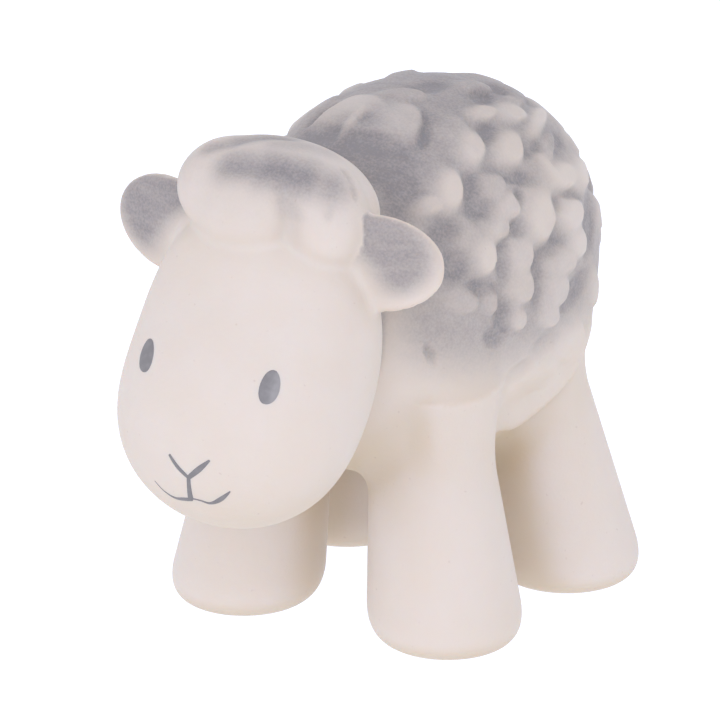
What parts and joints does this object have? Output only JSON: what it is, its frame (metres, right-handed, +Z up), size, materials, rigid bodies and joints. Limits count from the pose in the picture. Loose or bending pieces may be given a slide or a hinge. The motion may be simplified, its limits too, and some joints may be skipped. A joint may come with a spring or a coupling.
{
  "type": "sheep teething toy",
  "caption": "Standing sheep in hollow natural rubber: round legs to chew on, small ears, a lobed forelock, a fleecy back, and a sealed rattle capsule that rolls inside.",
  "frame": {"origin": "on the ground the toy stands on, under the middle of its length and width", "axes": "+Z up, -Y towards the nose, +X towards the sheep's left side"},
  "size_m": [0.0656, 0.1116, 0.0883],
  "materials": {
    "cream_rubber": "matte, slightly chalky",
    "fleece_rubber": "matte cream rubber with airbrushed grey",
    "plug_rubber": "matte",
    "face_paint": "soft satin paint film",
    "capsule_plastic": "satin",
    "bead_plastic": "glossy"
  },
  "bodies": {
    "casting": {"torso_shell": "fleece_rubber", "head_shell": "cream_rubber", "topknot": "fleece_rubber", "ear_left": "cream_rubber", "ear_right": "cream_rubber", "leg_front_left": "cream_rubber", "leg_front_right": "cream_rubber", "leg_rear_left": "cream_rubber", "leg_rear_right": "cream_rubber", "belly_plug": "plug_rubber", "eye_left": "face_paint", "eye_right": "face_paint", "nose_mark": "face_paint", "mouth_line": "face_paint"},
    "capsule": {"capsule_lower": "capsule_plastic", "capsule_upper": "capsule_plastic"},
    "bead_1": {"bead_1": "bead_plastic"},
    "bead_2": {"bead_2": "bead_plastic"},
    "bead_3": {"bead_3": "bead_plastic"},
    "bead_4": {"bead_4": "bead_plastic"},
    "bead_5": {"bead_5": "bead_plastic"}
  },
  "joints": [
    {"name": "capsule_roll", "type": "hinge", "parent": "casting", "child": "capsule", "pos_m": [0, 0.01345, 0.0665], "axis": [1, 0, 0], "range_deg": [-45, 45]},
    {"name": "bead_1_roll", "type": "hinge", "parent": "capsule", "child": "bead_1", "pos_m": [0, 0.01345, 0.0365], "axis": [1, 0, 0], "continuous": true},
    {"name": "bead_2_roll", "type": "hinge", "parent": "capsule", "child": "bead_2", "pos_m": [0, 0.01345, 0.0365], "axis": [1, 0, 0], "continuous": true},
    {"name": "bead_3_roll", "type": "hinge", "parent": "capsule", "child": "bead_3", "pos_m": [0, 0.01345, 0.0365], "axis": [1, 0, 0], "continuous": true},
    {"name": "bead_4_roll", "type": "hinge", "parent": "capsule", "child": "bead_4", "pos_m": [0, 0.01345, 0.0365], "axis": [1, 0, 0], "continuous": true},
    {"name": "bead_5_roll", "type": "hinge", "parent": "capsule", "child": "bead_5", "pos_m": [0, 0.01345, 0.0365], "axis": [1, 0, 0], "continuous": true}
  ]
}
